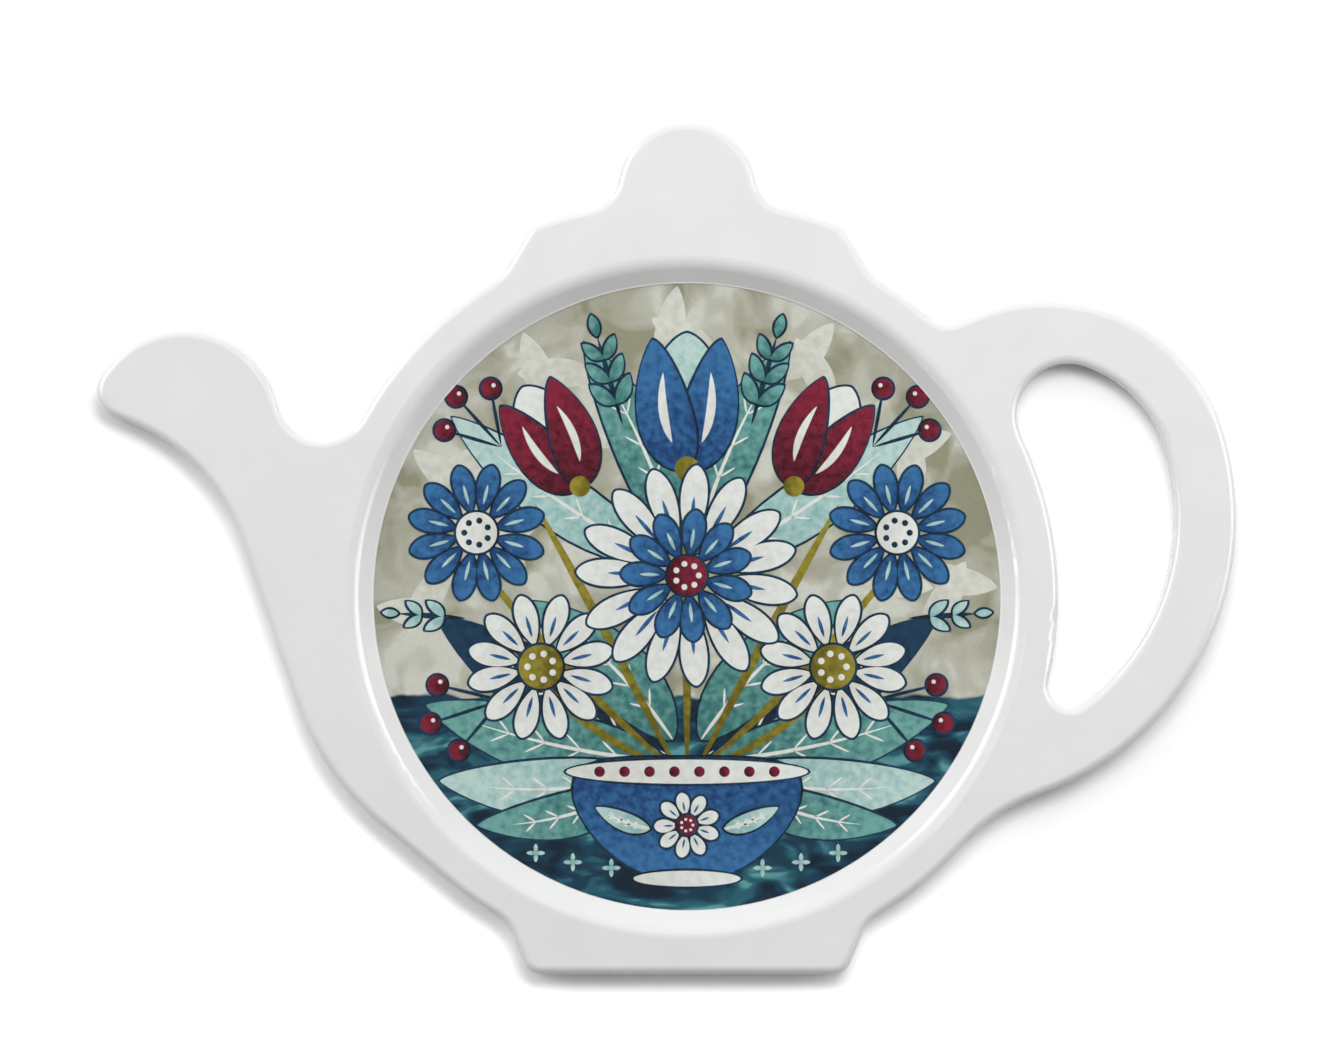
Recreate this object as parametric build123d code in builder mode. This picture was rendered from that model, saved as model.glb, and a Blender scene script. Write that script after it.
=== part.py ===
from build123d import *
import os
from math import acos, degrees, radians, tan

# A teapot-shaped tea bag rest, lying flat on a table. X runs from the spout to the handle,
# Y from the teapot's base to its lid, and Z up. The origin is on the table, under the middle
# of the round well. Sizes are millimetres and angles are degrees.

# Heights: the foot's flat face is on the table, and the skirt hangs clear of it
floor_thickness = 2.2
well_depth = 2.6
skirt_clearance = 0.6
plate_thickness = 2.4
skirt_wall = 2.4

# Print in the well: a foil, a clear film that seals its edge, and how both sit in the floor
foil_radius = 43.9
foil_thickness = 0.2
film_margin = 0.06
film_thickness = 0.15
seat_clearance = 0.05
floor_margin = 0.04

# Well's wall, the flat of the rim around it, and the foot under its floor
well_wall_angle = 45.0
well_floor_rounding = 0.15
well_lip_rounding = 2.7
rim_land = 2.95
foot_inset = 3.9

# Edges of the moulding
rim_rounding = 1.2
skirt_rounding = 0.5
foot_rounding = 0.4

# Hollows under the knob, the spout and the handle start this far outside the body's circle
hollow_standoff = 5.5
hollow_rounding = 0.8

# Lid and knob
lid_width = 43.2
lid_shoulder_rise = 0.2
lid_crown_rise = 4.0
lid_flare = 31.0
lid_shoulder_rounding = 3.5
lid_root_rounding = 7.0
knob_radius = 9.7
knob_rise = 14.6
knob_root_rounding = 5.0

# Base of the teapot's figure
base_width = 44.4
base_drop = 0.8
base_flare = 23.0
base_corner_rounding = 2.8
base_root_rounding = 5.5

# Spout: its round mouth, the lip at the mouth's lower end and the two bends of its underside.
# The lip and the throat turn with the mouth.
mouth_standoff = 22.4
mouth_angle = 161.3
mouth_radius = 13.6
lip_turn = 6.7
lip_rounding = 4.0
throat_standoff = 17.4
throat_turn = 2.1
throat_rounding = 27.0
hip_standoff = 5.1
hip_angle = 205.8
hip_rounding = 38.0
notch_rounding = 6.4

# Handle: an upper bow that runs on into a wider lower sweep, and the finger hole inside them
bow_standoff = 0.7
bow_angle = 17.4
bow_radius = 25.9
sweep_radius = 41.0
sweep_start_angle = 18.0
handle_width = 8.5
handle_notch_rounding = 4.0
handle_tail_rounding = 26.0
hole_top_rounding = 7.2
hole_bottom_rounding = 3.1

# Values that follow from those above
tolerance = 1e-4
rim_height = floor_thickness + well_depth
film_radius = foil_radius + film_margin
well_floor_radius = film_radius + seat_clearance + floor_margin
film_seat = floor_thickness - film_thickness
foil_seat = film_seat - foil_thickness
well_bend = tan(radians(well_wall_angle / 2))
well_foot_radius = well_floor_radius + well_floor_rounding * well_bend
well_mouth_radius = well_foot_radius + well_depth / tan(radians(well_wall_angle))
body_radius = well_mouth_radius + well_lip_rounding * well_bend + rim_land + rim_rounding
foot_radius = foil_radius - foot_inset
hollow_radius = body_radius + hollow_standoff


def polar(distance, angle):
    """A point at a distance from the body's centre, at an angle from the X axis."""
    return Vector(distance, 0).rotate(Axis.Z, angle)


def roots(vertices, radius):
    """The corners where a limb meets a circle about the body's centre, but not the circle's seam."""
    return vertices.filter_by(
        lambda v: abs(Vector(v.X, v.Y).length - radius) < tolerance and abs(v.Y) > tolerance
    )


# Lid and knob
knob_height = body_radius + knob_rise - knob_radius
with BuildSketch() as lid:
    with BuildLine():
        shoulder = Vector(lid_width / 2, body_radius + lid_shoulder_rise)
        crown = Vector(0, body_radius + lid_crown_rise)
        ThreePointArc((-shoulder.X, shoulder.Y), crown, shoulder)
        flank = PolarLine(shoulder, body_radius / 2, lid_flare - 90)
        Line(flank @ 1, (0, 0))
        mirror(flank, about=Plane.YZ)
        Line((-(flank @ 1).X, (flank @ 1).Y), (0, 0))
    make_face()
    fillet(lid.vertices().group_by(Axis.Y)[-1], radius=lid_shoulder_rounding)
    with Locations((0, knob_height)):
        Circle(knob_radius)
    knob_roots = lid.vertices().filter_by(
        lambda v: abs(Vector(v.X, v.Y - knob_height).length - knob_radius) < tolerance
        and v.Y < knob_height - tolerance
    )
    fillet(knob_roots, radius=knob_root_rounding)
    Circle(body_radius)
    fillet(roots(lid.vertices(), body_radius), radius=lid_root_rounding)

# Base of the teapot's figure
with BuildSketch() as base:
    with BuildLine():
        corner = Vector(base_width / 2, -body_radius - base_drop)
        Line((-corner.X, corner.Y), corner)
        flank = PolarLine(corner, body_radius / 2, 90 - base_flare)
        Line(flank @ 1, (0, 0))
        mirror(flank, about=Plane.YZ)
        Line((-(flank @ 1).X, (flank @ 1).Y), (0, 0))
    make_face()
    fillet(base.vertices().group_by(Axis.Y)[0], radius=base_corner_rounding)
    Circle(body_radius)
    fillet(roots(base.vertices(), body_radius), radius=base_root_rounding)

# Spout. Its underside leaves the body's circle on a tangent, and the notch above it is an arc
# that touches the circle of the mouth and the circle of the body from outside.
mouth_distance = body_radius + mouth_standoff
mouth_center = polar(mouth_distance, mouth_angle)
hip_distance = body_radius + hip_standoff
hip_turn = degrees(acos(body_radius / hip_distance))
notch_distance = body_radius + notch_rounding
notch_reach = mouth_radius + notch_rounding
notch_cosine = (mouth_distance**2 + notch_distance**2 - notch_reach**2) / (
    2 * mouth_distance * notch_distance
)
notch_angle = mouth_angle - degrees(acos(notch_cosine))
notch_center = polar(notch_distance, notch_angle)
with BuildSketch() as spout:
    with BuildLine():
        lip = mouth_center + polar(mouth_radius, mouth_angle + lip_turn)
        underside = FilletPolyline(
            polar(body_radius, hip_angle + hip_turn),
            polar(hip_distance, hip_angle),
            polar(body_radius + throat_standoff, mouth_angle + throat_turn),
            lip,
            radius=(hip_rounding, throat_rounding),
        )
        mouth_end = mouth_center + (notch_center - mouth_center).normalized() * mouth_radius
        ThreePointArc(lip, mouth_center + Vector(0, mouth_radius), mouth_end)
        notch_end = polar(body_radius, notch_angle)
        notch_depth = ((mouth_end + notch_end) / 2 - notch_center).normalized() * notch_rounding
        ThreePointArc(mouth_end, notch_center + notch_depth, notch_end)
        Line(notch_end, (0, 0))
        Line((0, 0), underside @ 0)
    make_face()
    fillet(spout.vertices().sort_by(Axis.X)[0], radius=lip_rounding)
    Circle(body_radius)

# Handle: the bow and the sweep are drawn twice, as its outer side and, drawn in, as its inner side.
# Both arcs run on until they end inside the body.
bow_center = polar(body_radius + bow_standoff, bow_angle)
sweep_center = bow_center - polar(sweep_radius - bow_radius, sweep_start_angle)
bow_arc = 130
sweep_arc = 110


def handle_figure(inset):
    """The area inside the handle's outline drawn in by a distance, closed across the body."""
    with BuildSketch() as figure:
        with BuildLine():
            bow = CenterArc(bow_center, bow_radius - inset, sweep_start_angle, bow_arc)
            sweep = CenterArc(
                sweep_center, sweep_radius - inset, sweep_start_angle - sweep_arc, sweep_arc
            )
            Line(bow @ 1, sweep @ 0)
        make_face()
    return figure.sketch


with BuildSketch() as finger_hole:
    add(handle_figure(handle_width))
    Circle(body_radius, mode=Mode.SUBTRACT)
    fillet(finger_hole.vertices().sort_by(Axis.Y)[-1], radius=hole_top_rounding)
    fillet(finger_hole.vertices().sort_by(Axis.Y)[0], radius=hole_bottom_rounding)

with BuildSketch() as handle:
    add(handle_figure(0))
    Circle(body_radius)
    fillet(roots(handle.vertices(), body_radius).sort_by(Axis.Y)[-1], radius=handle_notch_rounding)
    fillet(roots(handle.vertices(), body_radius).sort_by(Axis.Y)[0], radius=handle_tail_rounding)
    add(finger_hole.sketch, mode=Mode.SUBTRACT)

# Whole figure of the teapot
with BuildSketch() as outline:
    add(lid.sketch)
    add(base.sketch)
    add(spout.sketch)
    add(handle.sketch)

# Hollows under the limbs, a wall's thickness inside the outline
with BuildSketch() as hollows:
    add(spout.sketch)
    offset(amount=-skirt_wall)
    with Locations((0, knob_height)):
        Circle(knob_radius - skirt_wall)
    add(handle_figure(skirt_wall))
    add(handle_figure(handle_width - skirt_wall), mode=Mode.SUBTRACT)
    Circle(hollow_radius, mode=Mode.SUBTRACT)
    fillet(roots(hollows.vertices(), hollow_radius), radius=hollow_rounding)

# Tray: the figure with a turned-down edge, its round well, its foot and the seats of the print
with BuildPart() as moulded_tray:
    with BuildSketch(Plane.XY.offset(skirt_clearance)):
        add(outline.sketch)
    extrude(amount=rim_height - skirt_clearance)
    fillet(moulded_tray.faces().sort_by(Axis.Z)[-1].edges(), radius=rim_rounding)
    fillet(moulded_tray.faces().sort_by(Axis.Z)[0].edges(), radius=skirt_rounding)
    with BuildSketch(Plane.XY.offset(rim_height)):
        Circle(well_mouth_radius)
    extrude(amount=-well_depth, taper=90 - well_wall_angle, mode=Mode.SUBTRACT)
    well_wall = moulded_tray.faces().filter_by(GeomType.CONE)
    fillet(well_wall.edges().filter_by(GeomType.CIRCLE).sort_by(Axis.Z)[-1], radius=well_lip_rounding)
    well_wall = moulded_tray.faces().filter_by(GeomType.CONE)
    fillet(well_wall.edges().filter_by(GeomType.CIRCLE).sort_by(Axis.Z)[0], radius=well_floor_rounding)
    with BuildSketch(Plane.XY.offset(film_seat)):
        Circle(film_radius + seat_clearance)
    extrude(amount=film_thickness, mode=Mode.SUBTRACT)
    with BuildSketch(Plane.XY.offset(foil_seat)):
        Circle(foil_radius + seat_clearance)
    extrude(amount=foil_thickness, mode=Mode.SUBTRACT)
    with BuildSketch(Plane.XY.offset(skirt_clearance)):
        add(hollows.sketch)
    extrude(amount=rim_height - plate_thickness - skirt_clearance, mode=Mode.SUBTRACT)
    with BuildSketch():
        Circle(foot_radius)
    extrude(amount=skirt_clearance)
    fillet(moulded_tray.faces().sort_by(Axis.Z)[0].edges(), radius=foot_rounding)

# Foil with the printed picture
with BuildPart() as printed_foil:
    with BuildSketch(Plane.XY.offset(foil_seat)):
        Circle(foil_radius)
    extrude(amount=foil_thickness)

# Clear film over the foil, level with the floor of the well
with BuildPart() as clear_film:
    with BuildSketch(Plane.XY.offset(film_seat)):
        Circle(film_radius)
    extrude(amount=film_thickness)

moulded_tray.part.label = "moulded_tray"
printed_foil.part.label = "printed_foil"
clear_film.part.label = "clear_film"

os.makedirs("parts", exist_ok=True)
export_step(moulded_tray.part, "parts/moulded_tray.step")
export_step(printed_foil.part, "parts/printed_foil.step")
export_step(clear_film.part, "parts/clear_film.step")
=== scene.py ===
# %% [markdown]
# # A teapot-shaped tea bag rest
# The rest lies on a table and is seen straight from above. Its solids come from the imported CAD
# model: a white moulded tray, a printed foil in the floor of its round well, and a clear film that
# seals the foil. This lesson gives the tray and the film their finishes, paints the foil, and sets
# up the table, the light and the camera.

# %% Load the frame
import random
from math import cos, log, pi, radians, sin

import bmesh
import bpy
from mathutils import Matrix, Vector


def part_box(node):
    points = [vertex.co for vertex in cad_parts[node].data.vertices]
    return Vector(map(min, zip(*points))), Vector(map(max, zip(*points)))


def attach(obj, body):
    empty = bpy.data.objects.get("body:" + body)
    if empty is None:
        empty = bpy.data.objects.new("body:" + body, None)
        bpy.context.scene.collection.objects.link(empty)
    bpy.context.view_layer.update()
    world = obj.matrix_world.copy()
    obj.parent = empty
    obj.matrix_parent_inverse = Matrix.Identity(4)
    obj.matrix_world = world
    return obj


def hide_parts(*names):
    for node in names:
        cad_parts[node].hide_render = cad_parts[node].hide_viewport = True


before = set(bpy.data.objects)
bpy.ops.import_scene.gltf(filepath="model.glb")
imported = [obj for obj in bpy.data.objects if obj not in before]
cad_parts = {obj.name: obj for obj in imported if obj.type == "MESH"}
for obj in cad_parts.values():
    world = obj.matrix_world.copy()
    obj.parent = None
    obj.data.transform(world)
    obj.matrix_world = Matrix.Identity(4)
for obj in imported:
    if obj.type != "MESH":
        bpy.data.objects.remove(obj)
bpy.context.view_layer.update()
MM = 0.001

# %% [markdown]
# Every finish below is a small tree of nodes. Two helpers keep the trees short: one turns a screen
# colour such as #f2f2f0 into the linear numbers that shaders work with, and one adds a node, sets
# it up and links whatever feeds it.

# %% Colour and node helpers
def colour(code):
    """The linear colour of an sRGB hex code."""
    shares = [int(code[start:start + 2], 16) / 255 for start in (1, 3, 5)]
    return [s / 12.92 if s <= 0.04045 else ((s + 0.055) / 1.055) ** 2.4 for s in shares] + [1.0]


def add_node(tree, kind, inputs=(), **settings):
    """A new node with its settings made and its inputs filled by values or by links."""
    made = tree.nodes.new("ShaderNode" + kind)
    for name, value in settings.items():
        setattr(made, name, value)
    for name, value in dict(inputs).items():
        if isinstance(value, bpy.types.NodeSocket):
            tree.links.new(value, made.inputs[name])
        else:
            made.inputs[name].default_value = value
    return made


def new_material(name):
    """An empty node material and its tree."""
    material = bpy.data.materials.new(name)
    material.use_nodes = True
    material.node_tree.nodes.clear()
    return material, material.node_tree


def set_ramp(ramp, stops):
    """Gives a colour ramp its stops, from pairs of a position and a hex code."""
    while len(ramp.elements) < len(stops):
        ramp.elements.new(1.0)
    for stop, (position, code) in zip(ramp.elements, stops):
        stop.position = position
        stop.color = colour(code)


print("Pure white is", colour("#ffffff"))

# %% [markdown]
# The tray is melamine, pressed hot in a polished mould. That leaves a hard, even gloss with a very
# faint orange peel, and the powder's grain shows as a barely uneven white. The orange peel is about
# 1.5 mm across on the real thing. It is drawn as a soft bump, and a slow drift of the roughness
# keeps the highlights on the rounded edges from looking drawn with a ruler.

# %% Glossy white melamine
GRAIN = 9 * MM
PEEL = 1.5 * MM
PEEL_DEPTH = 0.1 * MM
PEEL_STRENGTH = 0.05
SMOOTH, ROUGH = 0.17, 0.24
MELAMINE_IOR = 1.6
melamine, tree = new_material("glossy white melamine")
place = add_node(tree, "TexCoord").outputs["Object"]
grain = add_node(tree, "TexNoise", {"Vector": place, "Scale": 1 / GRAIN, "Detail": 3.0})
tint = add_node(tree, "ValToRGB", {"Fac": grain.outputs["Fac"]})
set_ramp(tint.color_ramp, ((0.25, "#ebebeb"), (0.75, "#f1f0f0")))
peel = add_node(tree, "TexNoise", {"Vector": place, "Scale": 1 / PEEL, "Detail": 1.0})
relief = add_node(
    tree,
    "Bump",
    {"Height": peel.outputs["Fac"], "Strength": PEEL_STRENGTH, "Distance": PEEL_DEPTH},
)
gloss = add_node(
    tree, "MapRange", {"Value": grain.outputs["Fac"], "To Min": SMOOTH, "To Max": ROUGH}
)
body = add_node(
    tree,
    "BsdfPrincipled",
    {
        "Base Color": tint.outputs["Color"],
        "Roughness": gloss.outputs["Result"],
        "IOR": MELAMINE_IOR,
        "Normal": relief.outputs["Normal"],
    },
)
add_node(tree, "OutputMaterial", {"Surface": body.outputs["BSDF"]})
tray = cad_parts["moulded_tray"]
tray.data.materials.clear()
tray.data.materials.append(melamine)
print("Tray:", len(tray.data.polygons), "triangles")

# %% [markdown]
# The print is a decal. A press lays it down ink by ink, and each ink has its own plate. Here each
# plate becomes one thin mesh within the foil's own 0.2 mm. The design is folk painting, which is
# built up from single strokes of a full brush, so one function that lays a stroke can draw petals,
# leaves, stems and dots. A stroke is a circle that is drawn out into a petal and bent. Its level
# says how many thin steps of paint lie under it, so a later stroke covers an earlier one. Two faces
# at one height would shade each other black where they overlap, so neighbours on a level differ by
# a third of a step.

# %% Plates and brush strokes
INKS = ("navy", "teal", "aqua", "blue", "olive", "maroon", "cream", "mist")
STROKE_SIDES = 36
BOTH, MIDDLE = (1, -1), (1,)
DECAL_PAPER = 0.1 * MM
LEVEL_STEP = 0.0022 * MM
SEED = 4
foil_low, foil_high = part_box("printed_foil")
GROUND_HEIGHT = foil_low.z + DECAL_PAPER
hand = random.Random(SEED)
plates = {ink: bmesh.new() for ink in INKS}
for plate in plates.values():
    plate.loops.layers.uv.new("brush")


def polar(distance, heading):
    """A step of a distance in a direction, in the plane of the print."""
    return Vector((cos(heading), sin(heading))) * distance


def stroke(ink, level, root, heading, length, width, bend=0.0, belly=0.5, tip=0.6, sides=BOTH):
    """One brush stroke, in mm, on one side of the design or mirrored on both."""
    plate = plates[ink]
    brush = plate.loops.layers.uv["brush"]
    turn = Matrix.Rotation(heading, 2)
    drag = log(belly) / log(0.5)
    for side in sides:
        height = GROUND_HEIGHT + (level + 1 + len(plate.faces) % 3 / 3) * LEVEL_STEP
        ring = bmesh.ops.create_circle(plate, cap_ends=True, radius=1.0, segments=STROKE_SIDES)
        along = {vert: ((vert.co.x + 1) / 2) ** drag for vert in ring["verts"]}
        across = {vert: vert.co.y for vert in ring["verts"]}
        for loop in ring["verts"][0].link_faces[0].loops:
            loop[brush].uv = (along[loop.vert], across[loop.vert] / 2 + 0.5)
        for vert in ring["verts"]:
            swell = across[vert] * abs(across[vert]) ** tip * width / 2
            sway = bend * along[vert] ** 2 * length
            spot = Vector(root) + turn @ Vector((along[vert] * length, swell + sway))
            vert.co = (spot.x * side * MM, spot.y * MM, height)


print("Plates:", ", ".join(INKS))

# %% [markdown]
# Batik and folk painters draw a dark line round each patch of colour. It could be a curve with a
# thickness, but a slightly larger navy stroke under each coloured one gives the same line from the
# function that is already here. A coat is three levels: the line, the colour and the light touches.

# %% Lined strokes and dots
LINE = 0.35


def painted(ink, coat, root, heading, length, width, **shape):
    """A stroke of colour with a navy line round it."""
    start = Vector(root) - polar(LINE, heading)
    stroke("navy", 3 * coat, start, heading, length + 2 * LINE, width + 2 * LINE, **shape)
    stroke(ink, 3 * coat + 1, root, heading, length, width, **shape)


def dot(ink, level, centre, radius, sides=BOTH):
    """A round touch of the brush."""
    start = Vector(centre) - Vector((radius, 0))
    stroke(ink, level, start, 0.0, 2 * radius, 2 * radius, tip=0.0, sides=sides)


print("A coat is", round(3 * LEVEL_STEP / MM, 4), "mm thick")

# %% [markdown]
# Such a painter builds a flower from one kind of stroke, laid again and again round a centre. A
# loop that turns the stroke does the same, and a small random turn of each petal keeps the ring
# from looking stamped. A daisy is a ring of petals round a dotted eye, and a tulip is three bent
# petals.

# %% Flowers
EYE_DOTS = 7
WOBBLE = 0.04


def daisy(coat, centre, size, petals, petal, eye, sides=BOTH):
    """A ring of petals with a gleam on each, round a dotted eye in a second coat, if it has one."""
    eye_radius = 0.3 * size
    # A petal takes four fifths of its share of the circle where it is widest
    width = 0.8 * 2 * pi * 0.72 * size / petals
    for count in range(petals):
        heading = 2 * pi * (count + 0.5) / petals + hand.uniform(-WOBBLE, WOBBLE)
        root = Vector(centre) + polar(eye_radius, heading)
        painted(petal, coat, root, heading, 0.7 * size, width, belly=0.6, tip=0.2, sides=sides)
        shine = "aqua" if petal != "cream" else "blue"
        spot = Vector(centre) + polar(0.42 * size, heading)
        stroke(shine, 3 * coat + 2, spot, heading, 0.3 * size, 0.16 * width, sides=sides)
    if eye is None:
        return
    dot("navy", 3 * coat + 3, centre, eye_radius + LINE, sides)
    dot(eye, 3 * coat + 4, centre, eye_radius, sides)
    for count in range(EYE_DOTS):
        touch = Vector(centre) + polar(0.18 * size, 2 * pi * count / EYE_DOTS)
        dot("cream" if eye != "cream" else "navy", 3 * coat + 5, touch, 0.045 * size, sides)


def tulip(coat, root, heading, size, petal, heart, sides=BOTH):
    """Two bent petals, one over the other, that hold a third behind them. It takes three coats."""
    painted(heart, coat, root, heading, size, 0.5 * size, belly=0.55, tip=0.3, sides=sides)
    for layer, turn in ((coat + 1, -1), (coat + 2, 1)):
        lean = heading + turn * 0.52
        bulge = {"bend": -turn * 0.26, "belly": 0.42, "tip": 0.45, "sides": sides}
        painted(petal, layer, root, lean, 0.95 * size, 0.42 * size, **bulge)
        gleam = Vector(root) + polar(0.22 * size, lean)
        sway = {"bend": -turn * 0.3, "sides": sides}
        stroke("cream", 3 * layer + 2, gleam, lean - turn * 0.1, 0.5 * size, 0.07 * size, **sway)
    dot("olive", 3 * coat + 8, root, 0.09 * size, sides)


print("Flowers: daisies and tulips")

# %% [markdown]
# Leaves, sprigs and berries fill the space between the flowers. A leaf is one broad stroke with a
# pale midrib and side veins, a sprig is a stem with leaves in pairs, and berries sit on a fan of
# stalks. One function finds the points along a bent stem, so that veins and leaflets stay on it.

# %% Leaves and berries
VEIN_PAIRS = 4
BERRY = 1.35


def on_stem(root, heading, length, bend, along):
    """The point at a share of the way along a bent stem."""
    return Vector(root) + Matrix.Rotation(heading, 2) @ Vector((along, bend * along**2)) * length


def leaf(ink, coat, root, heading, length, width, bend=0.0, sides=BOTH):
    """A leaf with its midrib and a few side veins."""
    painted(ink, coat, root, heading, length, width, bend=bend, belly=0.45, sides=sides)
    rib = {"bend": 0.8 * bend, "belly": 0.3, "sides": sides}
    stroke("cream", 3 * coat + 2, root, heading, 0.8 * length, 0.55, **rib)
    for count in range(VEIN_PAIRS):
        along = 0.2 + 0.15 * count
        spot = on_stem(root, heading, length, bend, along)
        for turn in (-1, 1):
            course = heading + 2 * bend * along + turn * 0.65
            reach = 0.36 * width * (1 - 0.5 * abs(along - 0.4))
            stroke("cream", 3 * coat + 2, spot, course, reach, 0.32, sides=sides)


def sprig(coat, root, heading, length, pairs, ink, bend=0.0, sides=BOTH):
    """A stem with leaves in pairs and one at its tip."""
    stroke("navy", 3 * coat - 0.5, root, heading, length, 0.8, bend=bend, sides=sides)
    for count in range(pairs + 1):
        along = (count + 1) / (pairs + 1)
        spot = on_stem(root, heading, length, bend, along)
        course = heading + 2 * bend * along
        size = 0.32 * length * (1.15 - 0.4 * along)
        for turn in (-1, 1) if count < pairs else (0,):
            lean = course + turn * 0.9
            painted(ink, coat, spot, lean, size, 0.45 * size, bend=-turn * 0.2, sides=sides)


def berries(coat, root, heading, length, count, sides=BOTH):
    """Berries on a fan of thin stalks."""
    for stalk in range(count):
        lean = heading + (stalk - (count - 1) / 2) * 0.55
        reach = length * (1.0 - 0.12 * abs(stalk - (count - 1) / 2))
        fruit = Vector(root) + polar(reach, lean)
        stroke("navy", 3 * coat, root, lean, reach, 0.5, sides=sides)
        dot("navy", 3 * coat, fruit, BERRY + LINE, sides)
        dot("maroon", 3 * coat + 1, fruit, BERRY, sides)
        dot("cream", 3 * coat + 2, fruit + Vector((-0.4, 0.45)), 0.3, sides)


print("Fillers: leaves, sprigs and berries")

# %% [markdown]
# The design is a bouquet in a bowl, an old subject of painted plates, in blues, teals and cream
# with touches of maroon and olive. The bowl stands on a dark cloth, and pale leaves like a
# stencil's fill the wall behind it. So the dark colours are low, and the flowers stand against the
# pale ground above. It is laid from back to front, and everything off the middle line is painted on
# both sides.

# %% The bouquet
UP = pi / 2
CLOTH_EDGE = -14.0
for level, ring, count, size in ((0, 37.0, 24, 11.0), (1, 27.0, 18, 12.0)):
    for leaflet in range(count):
        heading = 2 * pi * (leaflet + 0.5) / count
        lean = heading + (0.9 if leaflet % 2 else -0.6)
        root = polar(ring - 4, heading)
        if root.y > CLOTH_EDGE + 5:
            stroke("mist", level, root, lean, size, 4.2, bend=0.2, sides=MIDDLE)
for stitch in ((10.6, -38.0), (16.0, -37.2), (21.2, -35.9)):
    for turn in range(4):
        stroke("aqua", 1, stitch, turn * UP, 1.3, 0.6)
leaf("navy", 1, (3, -22), radians(24), 37, 9.5, bend=0.12)
leaf("teal", 2, (3, -23), radians(4), 34, 9.5, bend=0.16)
leaf("aqua", 3, (5, -25), radians(-14), 29, 8.5, bend=0.22)
leaf("teal", 4, (2, -20), radians(56), 27, 9.0, bend=-0.2)
leaf("teal", 4, (8, -27), radians(-30), 21, 6.5, bend=0.3)
leaf("teal", 2, (1, 6), radians(76), 32, 8.0, bend=-0.18)
leaf("aqua", 3, (4, 5), radians(28), 35, 8.0, bend=0.12)
stroke("olive", 16, (0, -24), UP, 44, 1.3, tip=0.1, sides=MIDDLE)
stroke("olive", 16, (1.5, -24), radians(63), 42, 1.3, bend=-0.02, tip=0.1)
stroke("olive", 16, (2.0, -24), radians(40), 42, 1.2, bend=0.12, tip=0.1)
stroke("olive", 16, (2.5, -24), radians(20), 26, 1.2, bend=0.3, tip=0.1)
sprig(6, (9.0, 24.0), radians(74), 13.0, 3, "teal")
sprig(6, (31.0, -3.0), radians(4), 9.5, 2, "aqua")
berries(6, (26.0, 21.0), radians(48), 9.5, 3)
berries(6, (26.0, -14.5), radians(-18), 10.5, 3)
tulip(6, (15.0, 15.5), radians(60), 16.0, "maroon", "cream")
tulip(6, (0, 18.0), UP, 19.0, "blue", "aqua", sides=MIDDLE)
daisy(9, (29.5, 9.0), 9.6, 12, "blue", "cream")
daisy(9, (20.5, -9.8), 10.3, 12, "cream", "olive")
daisy(11, (0, 3.0), 15.5, 15, "cream", None, sides=MIDDLE)
daisy(12, (0, 3.0), 9.2, 11, "blue", "maroon", sides=MIDDLE)
painted("blue", 9, (0, -22.5), -UP, 17.5, 32.0, belly=0.26, tip=0.0, sides=MIDDLE)
painted("cream", 10, (-7.5, -39.5), 0.0, 15.0, 2.2, tip=0.0, sides=MIDDLE)
painted("cream", 11, (-17.0, -24.5), 0.0, 34.0, 3.4, tip=0.0, sides=MIDDLE)
daisy(12, (0, -32.0), 4.6, 9, "cream", "maroon", sides=MIDDLE)
leaf("aqua", 12, (5.2, -32.5), radians(10), 8.0, 2.6, bend=0.2)
for count in range(8):
    dot("maroon", 35, (-12.25 + 3.5 * count, -24.5), 0.75, sides=MIDDLE)
print("Strokes:", {ink: len(plates[ink].faces) for ink in INKS})

# %% [markdown]
# A press leaves a thin coat of each ink, and the plates are still flat faces. Extruding them down
# to one height closes them. Solidify would close them too, but with undersides at as many heights
# as there are levels. Each plate then becomes an object that rides on the rest and stands for a
# node of the CAD model.

# %% Pieces from flat faces
def close_down(bm, low):
    """Gives flat faces a thickness, down to a height, and closes them."""
    sunk = bmesh.ops.extrude_face_region(bm, geom=bm.faces[:])
    for part in sunk["geom"]:
        if isinstance(part, bmesh.types.BMVert):
            part.co.z = low
    bmesh.ops.recalc_face_normals(bm, faces=bm.faces)


def new_piece(name, bm, material, node):
    """Turns a bmesh into a piece that stands for a node of the frame."""
    piece = bpy.data.objects.new(name, bpy.data.meshes.new(name))
    bpy.context.collection.objects.link(piece)
    bm.to_mesh(piece.data)
    bm.free()
    piece.data.materials.append(material)
    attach(piece, "root")
    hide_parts(node)
    print(name, len(piece.data.polygons), "faces")


print("Plates to close:", len(plates))

# %% [markdown]
# The ground under the inks is wash that dried in patches: greige for the wall, and teal to navy for
# the cloth, in streaks that run along it. Slow noises make the patches, whose edges are kept fairly
# crisp as in batik, and a fine one makes the paper's tooth. The cloth's edge is a height on the
# design that a noise makes uneven. The foil's disc carries it all, under the plates. Paper and ink
# are fused to the film above them, with no air between, so they have no gloss of their own.

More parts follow.
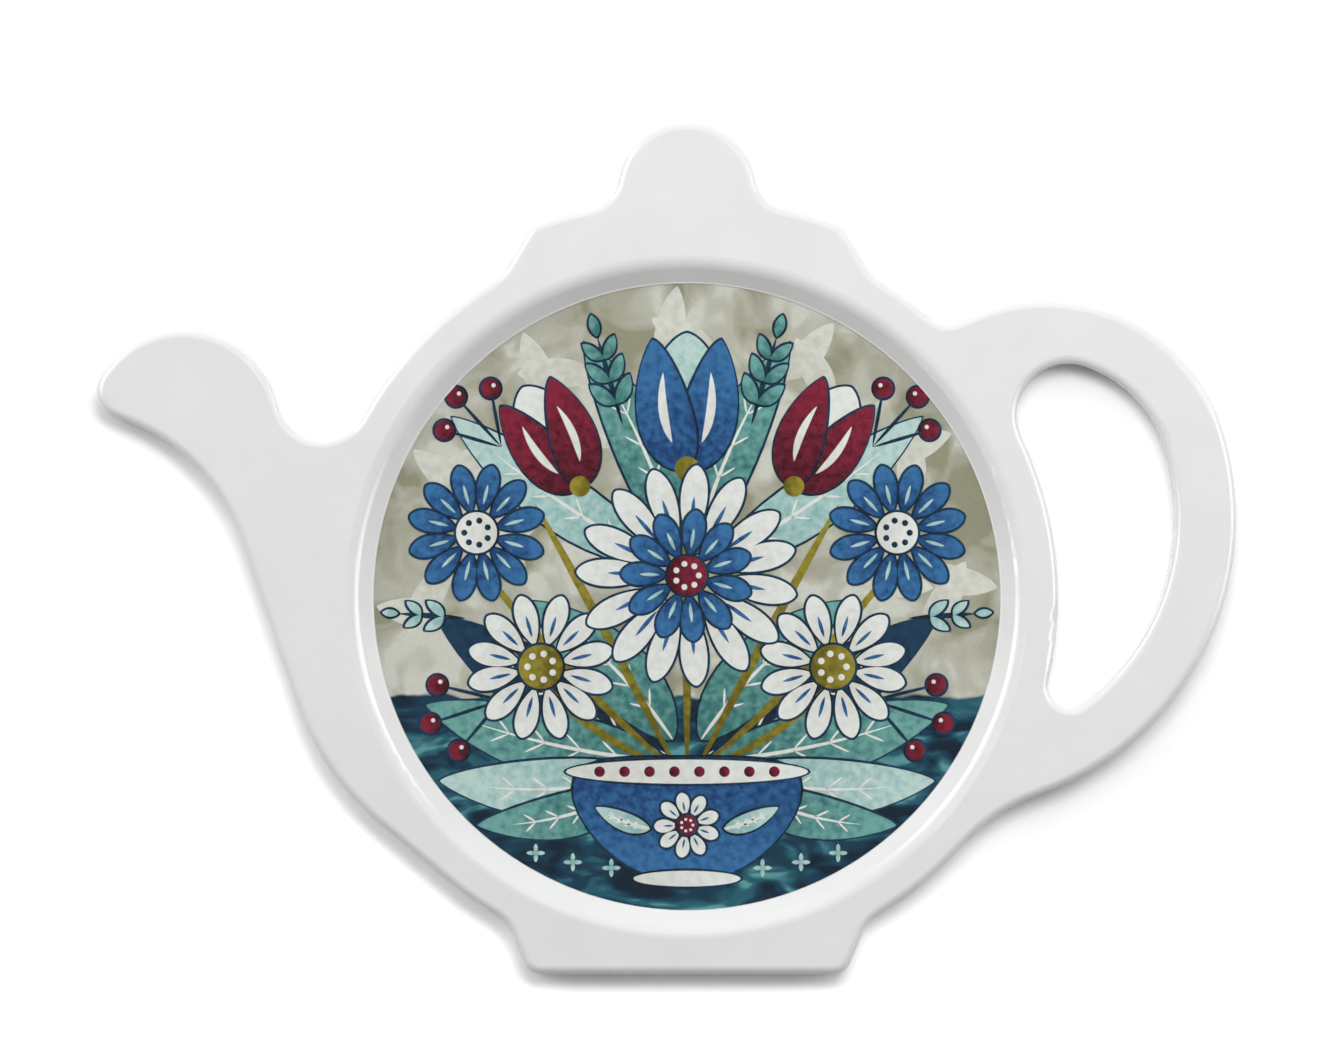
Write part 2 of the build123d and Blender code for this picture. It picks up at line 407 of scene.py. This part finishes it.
# %% Ground wash
PATCH = 8 * MM
STREAK = 2.5
RIPPLE = 5 * MM
RIPPLE_HEIGHT = 2.5 * MM
EDGE_TOP = (CLOTH_EDGE + 1.6) * MM
EDGE_FOOT = (CLOTH_EDGE + 1.2) * MM
FIBRE = 0.5 * MM
TOOTH = 0.1
PAPER_ROUGHNESS = 0.55
DISC_SIDES = 160
WALL = ((0.36, "#98977f"), (0.45, "#aead9b"), (0.54, "#bdbdae"), (0.62, "#d2d3c7"))
CLOTH = ((0.36, "#0a2030"), (0.46, "#123a4f"), (0.54, "#235c6b"), (0.64, "#5c9a9e"))
wash, tree = new_material("patchy wash on decal paper")
place = add_node(tree, "TexCoord").outputs["Object"]
washes = []
for stops, stretch in ((WALL, 1.0), (CLOTH, STREAK)):
    pulled = add_node(tree, "Mapping", {"Vector": place, "Scale": (1.0, stretch, 1.0)})
    clouds = add_node(
        tree,
        "TexNoise",
        {"Vector": pulled.outputs[0], "Scale": 1 / PATCH, "Detail": 2.0, "Distortion": 0.6},
    )
    patches = add_node(tree, "ValToRGB", {"Fac": clouds.outputs["Fac"]})
    patches.color_ramp.interpolation = "EASE"
    set_ramp(patches.color_ramp, stops)
    washes.append(patches.outputs["Color"])
ripple = add_node(tree, "TexNoise", {"Vector": place, "Scale": 1 / RIPPLE, "Detail": 2.0})
height = add_node(tree, "SeparateXYZ", {"Vector": place}).outputs["Y"]
edge = add_node(
    tree, "Math", {0: ripple.outputs["Fac"], 1: RIPPLE_HEIGHT, 2: height}, operation="MULTIPLY_ADD"
)
below = add_node(
    tree, "MapRange", {"Value": edge.outputs[0], "From Min": EDGE_TOP, "From Max": EDGE_FOOT}
)
ground = add_node(
    tree, "Mix", {0: below.outputs["Result"], 6: washes[0], 7: washes[1]}, data_type="RGBA"
)
fibre = add_node(tree, "TexNoise", {"Vector": place, "Scale": 1 / FIBRE, "Detail": 2.0})
tooth = add_node(
    tree,
    "MapRange",
    {"Value": fibre.outputs["Fac"], "To Min": 1 - TOOTH, "To Max": 1 + TOOTH},
)
shade = add_node(
    tree,
    "Mix",
    {0: 1.0, 6: ground.outputs[2], 7: tooth.outputs["Result"]},
    data_type="RGBA",
    blend_type="MULTIPLY",
)
body = add_node(
    tree,
    "BsdfPrincipled",
    {"Base Color": shade.outputs[2], "Roughness": PAPER_ROUGHNESS, "Specular IOR Level": 0.0},
)
add_node(tree, "OutputMaterial", {"Surface": body.outputs["BSDF"]})
bm = bmesh.new()
bmesh.ops.create_circle(bm, cap_ends=True, radius=foil_high.x, segments=DISC_SIDES)
bmesh.ops.translate(bm, verts=bm.verts, vec=(0, 0, GROUND_HEIGHT))
close_down(bm, foil_low.z)
new_piece("print_ground", bm, wash, "printed_foil")

# %% [markdown]
# Each ink is a printed copy of brushwork: darker where the brush was set down, thinner towards the
# end of its pull, and mottled at about a millimetre, as wax-resist dye is. The UV map that every
# stroke carries says how far along the pull a point is. That shifts the mottle, from the dark
# shade of the ink to its pale one.

# %% Inks
MOTTLE = 1.1 * MM
LOADED, FADE = -0.2, 0.45
INK_STOPS = (0.3, 0.75)
INK_ROUGHNESS = 0.5
SHADES = {
    "navy": ("#071c2c", "#163c58"),
    "teal": ("#35716f", "#72aba4"),
    "aqua": ("#8ab8b5", "#c0dad4"),
    "blue": ("#153f72", "#3873a8"),
    "olive": ("#645b10", "#9a8e30"),
    "maroon": ("#4a0a1b", "#861f38"),
    "cream": ("#d8dad2", "#eaede8"),
    "mist": ("#c8c8bb", "#dddfd4"),
}
for ink in INKS:
    paint, tree = new_material(ink + " decal ink")
    place = add_node(tree, "TexCoord").outputs["Object"]
    brush = add_node(tree, "UVMap", uv_map="brush")
    mottle = add_node(tree, "TexNoise", {"Vector": place, "Scale": 1 / MOTTLE, "Detail": 3.0})
    pull = add_node(tree, "SeparateXYZ", {"Vector": brush.outputs["UV"]})
    load = add_node(
        tree, "Math", {0: pull.outputs["X"], 1: FADE, 2: LOADED}, operation="MULTIPLY_ADD"
    )
    depth = add_node(tree, "Math", {0: mottle.outputs["Fac"], 1: load.outputs[0]}, operation="ADD")
    tone = add_node(tree, "ValToRGB", {"Fac": depth.outputs[0]})
    set_ramp(tone.color_ramp, tuple(zip(INK_STOPS, SHADES[ink])))
    body = add_node(
        tree,
        "BsdfPrincipled",
        {
            "Base Color": tone.outputs["Color"],
            "Roughness": INK_ROUGHNESS,
            "Specular IOR Level": 0.0,
        },
    )
    add_node(tree, "OutputMaterial", {"Surface": body.outputs["BSDF"]})
    close_down(plates[ink], GROUND_HEIGHT - LEVEL_STEP)
    new_piece("print_" + ink, plates[ink], paint, "printed_foil")

# %% [markdown]
# The film over the print is clear melamine. From above one sees through it, and it only adds a thin
# mirror of the light. Real glass would bend light through 0.15 mm for nothing, so the film is a mix
# of a see-through shader and a glossy one, mixed by Fresnel. Only rays that look at the film meet
# the mirror. Light on its way to the print goes straight through, as it does where film and print
# are fused with no air between them. So the film's underside has no mirror either: a ray that meets
# a face from behind passes. Melamine's own index is 1.6. At 1.3 the mirror of the white room stays
# faint from above, where a real film would mirror the dark camera. The film stands for the CAD film
# with a hair of room under it, because two faces at one height can't both be drawn.

# %% Clear overlay film
FILM_IOR = 1.3
FILM_ROUGHNESS = 0.12
HAIR = 0.005 * MM


def looking(tree):
    """One for a ray from the camera, off a mirror or through glass, and zero for light."""
    rays = add_node(tree, "LightPath").outputs
    straight = {0: rays["Is Camera Ray"], 1: rays["Is Glossy Ray"]}
    either = add_node(tree, "Math", straight, operation="MAXIMUM")
    through = {0: either.outputs[0], 1: rays["Is Transmission Ray"]}
    return add_node(tree, "Math", through, operation="MAXIMUM").outputs[0]


overlay, tree = new_material("clear melamine overlay")
mirror = add_node(tree, "BsdfAnisotropic", {"Roughness": FILM_ROUGHNESS})
clear = add_node(tree, "BsdfTransparent")
edge_on = add_node(tree, "Fresnel", {"IOR": FILM_IOR})
share = add_node(tree, "Math", {0: edge_on.outputs[0], 1: looking(tree)}, operation="MULTIPLY")
behind = add_node(tree, "NewGeometry").outputs["Backfacing"]
outside = add_node(tree, "MapRange", {"Value": behind, "To Min": share.outputs[0], "To Max": 0.0})
mixed = add_node(
    tree, "MixShader", {0: outside.outputs["Result"], 1: clear.outputs[0], 2: mirror.outputs[0]}
)
add_node(tree, "OutputMaterial", {"Surface": mixed.outputs[0]})
film_low, film_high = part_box("clear_film")
bm = bmesh.new()
bmesh.ops.create_circle(bm, cap_ends=True, radius=film_high.x, segments=DISC_SIDES)
bmesh.ops.translate(bm, verts=bm.verts, vec=(0, 0, film_high.z))
close_down(bm, film_low.z + HAIR)
new_piece("overlay_film", bm, overlay, "clear_film")

# %% [markdown]
# The table is a plain white sheet. The camera and mirror rays see it brighter than the light makes
# it, so that it comes out white, and the shadow of the rest stays on it. The lamps are close and
# light the sheet unevenly, so this gain gets less towards the lid and towards the handle. The sheet
# is then just white all round, and a thin shade along the edge isn't lost. A hand's width away the
# light has fallen off, and from there on such rays see plain white paper.

# %% Table
PAPER_WHITE = 0.9
BASE_GAIN, HANDLE_GAIN, LID_GAIN = 1.75, 1.36, 1.17
BODY_X, HANDLE_X = 0.03, 0.05
BASE_Y, LID_Y = -0.06, 0.085
NEAR, FAR = 0.1, 0.15
TABLE_REACH = 2.0
sheet, tree = new_material("white paper sweep")
place = add_node(tree, "TexCoord").outputs["Object"]
spot = add_node(tree, "SeparateXYZ", {"Vector": place}).outputs
seen = looking(tree)
low = add_node(
    tree,
    "MapRange",
    {
        "Value": spot["X"],
        "From Min": BODY_X,
        "From Max": HANDLE_X,
        "To Min": BASE_GAIN,
        "To Max": HANDLE_GAIN,
    },
)
gain = add_node(
    tree,
    "MapRange",
    {
        "Value": spot["Y"],
        "From Min": BASE_Y,
        "From Max": LID_Y,
        "To Min": low.outputs["Result"],
        "To Max": LID_GAIN,
    },
)
level = add_node(
    tree, "MapRange", {"Value": seen, "To Min": PAPER_WHITE, "To Max": gain.outputs["Result"]}
)
matt = add_node(tree, "BsdfDiffuse", {"Color": level.outputs["Result"]})
reach = add_node(tree, "VectorMath", {0: place}, operation="LENGTH")
away = add_node(
    tree,
    "MapRange",
    {"Value": reach.outputs["Value"], "From Min": NEAR, "From Max": FAR, "To Max": seen},
)
plain = add_node(tree, "Emission", {"Color": colour("#ffffff")})
paper = add_node(
    tree, "MixShader", {0: away.outputs["Result"], 1: matt.outputs[0], 2: plain.outputs[0]}
)
add_node(tree, "OutputMaterial", {"Surface": paper.outputs[0]})
table = bpy.data.objects.new("table", bpy.data.meshes.new("table"))
bpy.context.collection.objects.link(table)
bm = bmesh.new()
bmesh.ops.create_grid(bm, x_segments=1, y_segments=1, size=TABLE_REACH)
bm.to_mesh(table.data)
bm.free()
table.data.materials.append(sheet)
print("Table at z = 0")

# %% [markdown]
# The light is that of a photo tent with the camera's hole in its roof and an open side towards the
# base of the teapot. Its white walls are brighter than the roof, and brightest behind the lid. So
# the room's brightness follows the direction of a ray: it leans to +Y, a little to -X, and away
# from +Z. An image of a studio could light the rest too, but a brightness and a lean are easier to
# match. Rays that look at the room see plain white.

# %% The tent's light
ROOM = 0.57
LEAN = (-0.25, 0.95, -0.8)
world = bpy.data.worlds.new("photo tent")
bpy.context.scene.world = world
world.use_nodes = True
tree = world.node_tree
tree.nodes.clear()
gaze = add_node(tree, "TexCoord").outputs["Generated"]
tilt = add_node(tree, "VectorMath", {0: gaze, 1: LEAN}, operation="DOT_PRODUCT")
glow = add_node(
    tree, "Math", {0: tilt.outputs["Value"], 1: ROOM, 2: ROOM}, operation="MULTIPLY_ADD"
)
walls = add_node(tree, "Math", {0: glow.outputs[0], 1: 0.0}, operation="MAXIMUM")
strength = add_node(
    tree, "MapRange", {"Value": looking(tree), "To Min": walls.outputs[0], "To Max": 1.0}
)
sky = add_node(
    tree, "Background", {"Color": colour("#ffffff"), "Strength": strength.outputs["Result"]}
)
add_node(tree, "OutputWorld", {"Surface": sky.outputs[0]})
print("World:", world.name)

# %% [markdown]
# A soft box stands close by above the lid, so the top faces get darker towards the base. The real
# one is wide and even and draws no line in the gloss, so this small one stays out of it. A panel on
# each side lights the walls that face it. Two strips draw the thin lines of light along the rounded
# edges. They show in the gloss alone, so the shade of the faces stays with the other lamps.

# %% Lamps
# Name, place, width and depth in metres, watts, whether it lights faces, whether it shows in gloss
LAMPS = (
    ("soft box", (0.06, 0.165, 0.38), (0.3, 0.14), 0.83, True, False),
    ("left panel", (-0.42, 0.15, 0.25), (0.3, 0.3), 0.58, True, True),
    ("right panel", (0.45, 0.05, 0.25), (0.3, 0.3), 0.52, True, True),
    ("left strip", (-0.42, 0.16, 0.2), (0.5, 0.2), 1.0, False, True),
    ("right strip", (0.45, 0.04, 0.2), (0.5, 0.2), 1.0, False, True),
)
for name, place, (width, depth), power, lights, shines in LAMPS:
    lamp = bpy.data.lights.new(name, "AREA")
    lamp.shape = "RECTANGLE"
    lamp.size = width
    lamp.size_y = depth
    lamp.energy = power
    stand = bpy.data.objects.new(name, lamp)
    bpy.context.collection.objects.link(stand)
    stand.location = place
    stand.visible_diffuse = lights
    stand.visible_glossy = shines
    stand.rotation_euler = (-stand.location).to_track_quat("-Z", "Y").to_euler()
    print(name, round(stand.location.length, 2), "m away")

# %% [markdown]
# The camera looks straight down. One pixel of the 1337 by 1048 frame is 0.14 mm at the height where
# the outline is widest, so the frame's width there sets the lens. The middle of the well is a
# little off the middle of the frame, so the camera stands off it by as many pixels.

# %% Camera
PIXEL = 0.14 * MM
WIDE, HIGH = 1337, 1048
WELL_ACROSS, WELL_DOWN = 687, 597
OUTLINE_HEIGHT = 3.6 * MM
CAMERA_HEIGHT = 1.1
eye = bpy.data.cameras.new("camera")
eye.sensor_width = 36.0
eye.lens = eye.sensor_width * (CAMERA_HEIGHT - OUTLINE_HEIGHT) / (WIDE * PIXEL)
camera = bpy.data.objects.new("camera", eye)
bpy.context.collection.objects.link(camera)
camera.location = (
    (WIDE / 2 - WELL_ACROSS) * PIXEL,
    (WELL_DOWN - HIGH / 2) * PIXEL,
    CAMERA_HEIGHT,
)
bpy.context.scene.camera = camera
bpy.context.scene.view_settings.view_transform = "Standard"
print("Lens", round(eye.lens, 1), "mm")
